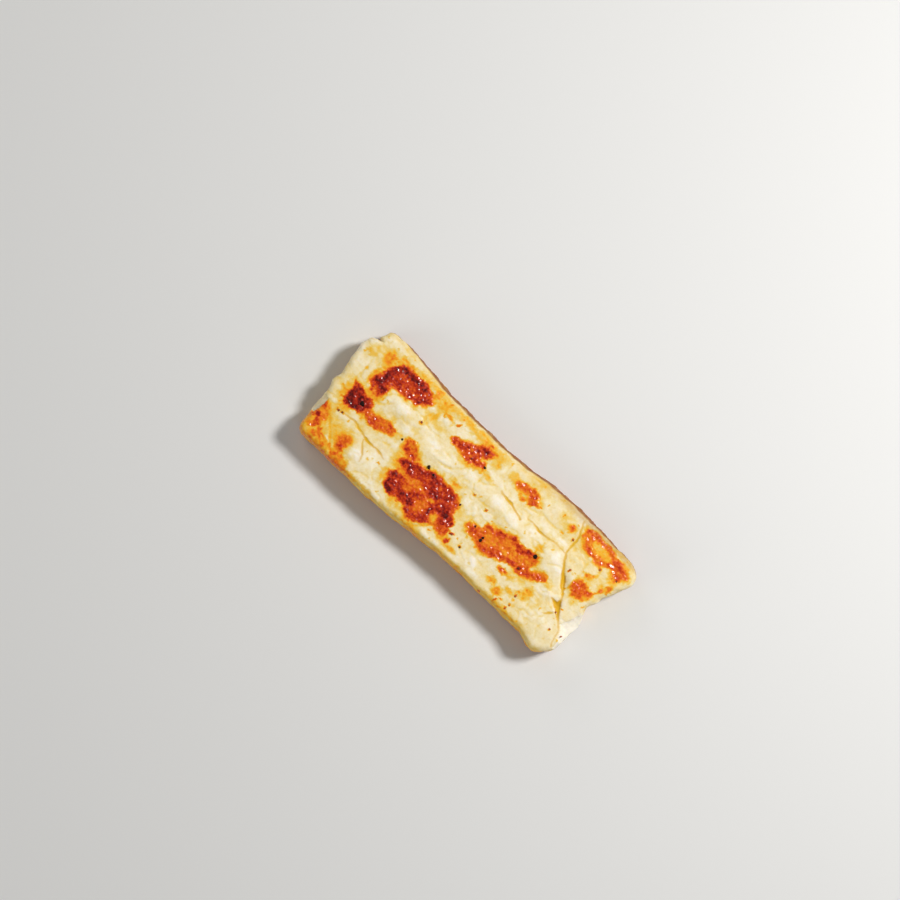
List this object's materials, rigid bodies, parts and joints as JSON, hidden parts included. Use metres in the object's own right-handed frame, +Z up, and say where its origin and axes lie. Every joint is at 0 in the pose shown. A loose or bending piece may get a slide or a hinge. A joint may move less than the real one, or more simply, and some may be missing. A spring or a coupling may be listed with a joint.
{
  "type": "grilled halloumi slice",
  "caption": "Flat oblong slice of grilled cheese with uneven ends, folded cracks across the top, browned patches and pepper flakes, lying on its underside.",
  "frame": {"origin": "middle of the box round the slice, on the surface that it lies on", "axes": "+X along the slice towards its broken end, +Y across it, +Z up out of the browned top"},
  "size_m": [0.1086, 0.043, 0.0123],
  "materials": {
    "grilled_cheese": "pale cream cheese with golden to dark red-brown grilled patches, a little oily"
  },
  "bodies": {
    "root": {"halloumi_slice": "grilled_cheese"}
  },
  "joints": []
}
